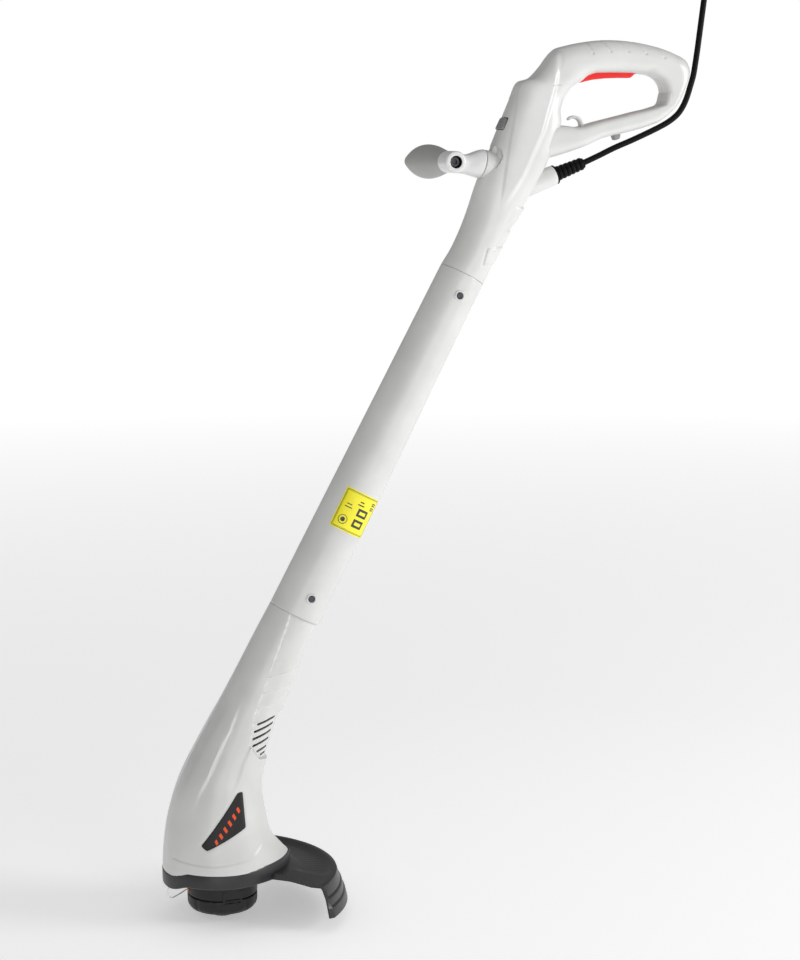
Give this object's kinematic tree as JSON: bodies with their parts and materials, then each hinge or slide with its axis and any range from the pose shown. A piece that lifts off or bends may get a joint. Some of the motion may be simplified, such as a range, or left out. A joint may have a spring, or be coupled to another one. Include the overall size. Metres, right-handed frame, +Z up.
{
  "type": "string trimmer",
  "caption": "Corded string trimmer: loop rear handle with trigger, leaning shaft, swivelling front handle, bell motor housing, guard and bump-feed line head.",
  "frame": {"origin": "centre of the rear grip, where the hand closes on the top bar of the loop handle", "axes": "+Z up along the motor and line head axis in the working pose, +X back toward the user, -Y to the user's left"},
  "size_m": [0.6404, 0.241, 1.0775],
  "materials": {
    "housing_plastic": "satin moulded, warm light grey",
    "arm_plastic": "satin moulded, off white",
    "grip_plastic": "fine grain, light grey",
    "trigger_plastic": "satin moulded red",
    "black_plastic": "fine spark-eroded grain",
    "inner_plastic": "plain moulded",
    "fan_plastic": "plain moulded, natural",
    "button_plastic": "satin moulded, grey",
    "cord_rubber": "smooth black",
    "steel": "zinc plated",
    "dark_steel": "black oxide",
    "plated_brass": "nickel plated",
    "copper": "enamelled and bare copper",
    "laminated_steel": "stacked sheet, oiled",
    "carbon": "pressed graphite",
    "capacitor_case": "potted box",
    "lead_insulation": "PVC insulation",
    "label_film": "printed film",
    "nylon_line": "clear white nylon"
  },
  "bodies": {
    "frame": {"handle_shell_left": "housing_plastic", "handle_shell_right": "housing_plastic", "swivel_socket": "housing_plastic", "shaft_tube": "housing_plastic", "motor_housing_left": "housing_plastic", "motor_housing_right": "housing_plastic", "guard": "black_plastic", "badge_plate": "black_plastic", "trigger_switch": "inner_plastic", "cord_clamp": "inner_plastic", "brush_holders": "inner_plastic", "upper_bracket": "inner_plastic", "lower_bracket": "inner_plastic", "strain_relief": "cord_rubber", "power_cord": "cord_rubber", "inner_cord": "cord_rubber", "plug_body": "cord_rubber", "trigger_pin": "steel", "trigger_spring": "steel", "clamp_screws": "steel", "lock_button_spring": "steel", "upper_bearing": "steel", "lower_bearing": "steel", "guard_screws": "steel", "line_cutter": "steel", "handle_screws": "dark_steel", "housing_screws": "dark_steel", "shaft_screws": "dark_steel", "cutter_screws": "dark_steel", "plug_pins": "plated_brass", "field_coils": "copper", "stator_core": "laminated_steel", "carbon_brushes": "carbon", "capacitor": "capacitor_case", "motor_leads": "lead_insulation", "noise_label": "label_film"},
    "trigger": {"trigger": "trigger_plastic"},
    "switch_plunger": {"switch_plunger": "fan_plastic"},
    "rotor": {"armature_core": "laminated_steel", "armature_windings": "copper", "commutator": "copper", "motor_shaft": "steel", "cooling_fan": "fan_plastic", "head_hub": "black_plastic", "head_cap": "black_plastic", "line_eyelet": "copper", "cutting_line": "nylon_line", "spool_spring": "steel"},
    "bump_knob": {"bump_knob": "black_plastic"},
    "line_spool": {"line_spool": "inner_plastic", "wound_line": "nylon_line"},
    "aux_handle": {"aux_arm": "arm_plastic", "aux_grip": "grip_plastic", "grip_bolt": "dark_steel", "swivel_screw": "steel"},
    "lock_button": {"lock_button": "button_plastic"}
  },
  "joints": [
    {"name": "trigger_squeeze", "type": "hinge", "parent": "frame", "child": "trigger", "pos_m": [0.032, 0, -0.012], "axis": [0, 1, 0], "range_deg": [0, 5], "stiffness_Nm_per_rad": 3, "springref_deg": -3.44, "deforming": ["trigger_spring"]},
    {"name": "plunger_press", "type": "slide", "parent": "frame", "child": "switch_plunger", "axis": [0, 0, 1], "range_m": [0, 0.0045]},
    {"name": "head_spin", "type": "hinge", "parent": "frame", "child": "rotor", "pos_m": [-0.45098, 0, -0.87567], "axis": [0, 0, 1], "continuous": true, "deforming": ["cutting_line"]},
    {"name": "bump_press", "type": "slide", "parent": "rotor", "child": "bump_knob", "axis": [0, 0, 1], "range_m": [0, 0.005], "stiffness_N_per_m": 400, "springref_m": -0.006, "deforming": ["spool_spring"]},
    {"name": "spool_feed", "type": "hinge", "parent": "bump_knob", "child": "line_spool", "pos_m": [-0.45098, 0, -0.90967], "axis": [0, 0, 1], "continuous": true},
    {"name": "front_handle_swivel", "type": "hinge", "parent": "frame", "child": "aux_handle", "pos_m": [-0.1515, 0, -0.1157], "axis": [0.977, 0, -0.213], "range_deg": [0, 180]},
    {"name": "lock_press", "type": "slide", "parent": "frame", "child": "lock_button", "axis": [0.9164, 0, -0.4003], "range_m": [0, 0.003], "stiffness_N_per_m": 600, "springref_m": -0.003, "deforming": ["lock_button_spring"]}
  ],
  "couplings": [
    {"joint": "plunger_press", "follows": "trigger_squeeze", "m_per_rad": 0.05}
  ]
}
